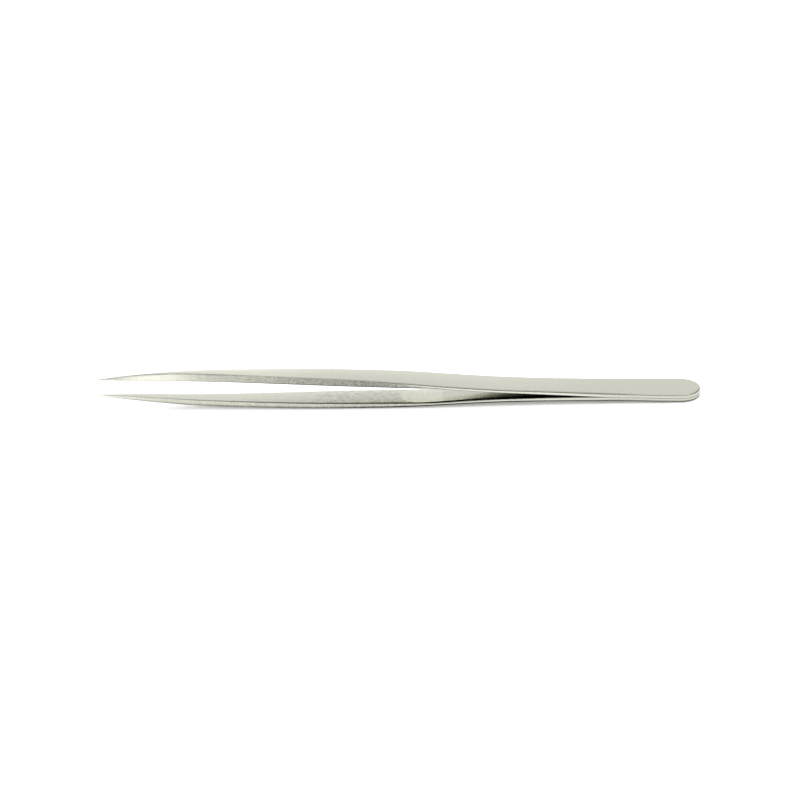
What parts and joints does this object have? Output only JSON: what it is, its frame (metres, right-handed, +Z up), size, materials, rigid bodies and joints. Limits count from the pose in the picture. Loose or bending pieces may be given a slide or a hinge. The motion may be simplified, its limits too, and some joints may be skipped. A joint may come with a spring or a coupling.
{
  "type": "precision tweezers",
  "caption": "Slender steel tweezers: two flat spring arms welded at a half-round rear end, swelling into ground blades that taper to needle-fine points.",
  "frame": {"origin": "centre of the bottom of the bounding box, on the surface that the tweezers lie on", "axes": "+X from the tips to the welded rear end, +Y across the arms, +Z up, from the lower arm to the upper one; at rest the tweezers lie on the rear end's lower edge and on the lower arm's belly, so their mid-plane leans 1.99 degrees about Y, tips up"},
  "size_m": [0.14, 0.0094, 0.0091],
  "materials": {
    "satin_steel": "satin, finely ground along the arms, with coarser grinding on the sides of the blades",
    "weld_steel": "fused metal, out of sight in the seam"
  },
  "bodies": {
    "root": {"upper_heel": "satin_steel", "lower_heel": "satin_steel", "weld_nuggets": "weld_steel"},
    "upper_arm": {"upper_grip": "satin_steel", "upper_jaw": "satin_steel"},
    "lower_arm": {"lower_grip": "satin_steel", "lower_jaw": "satin_steel"}
  },
  "joints": [
    {"name": "upper_arm_flex", "type": "hinge", "parent": "root", "child": "upper_arm", "pos_m": [0.02802, 0, 0.00289], "axis": [0, -1, 0], "range_deg": [0, 1.07], "stiffness_Nm_per_rad": 2.5},
    {"name": "lower_arm_flex", "type": "hinge", "parent": "root", "child": "lower_arm", "pos_m": [0.02799, 0, 0.00187], "axis": [0, 1, 0], "range_deg": [0, 1.07], "stiffness_Nm_per_rad": 2.5}
  ],
  "couplings": [
    {"joint": "lower_arm_flex", "follows": "upper_arm_flex", "ratio": 1}
  ]
}
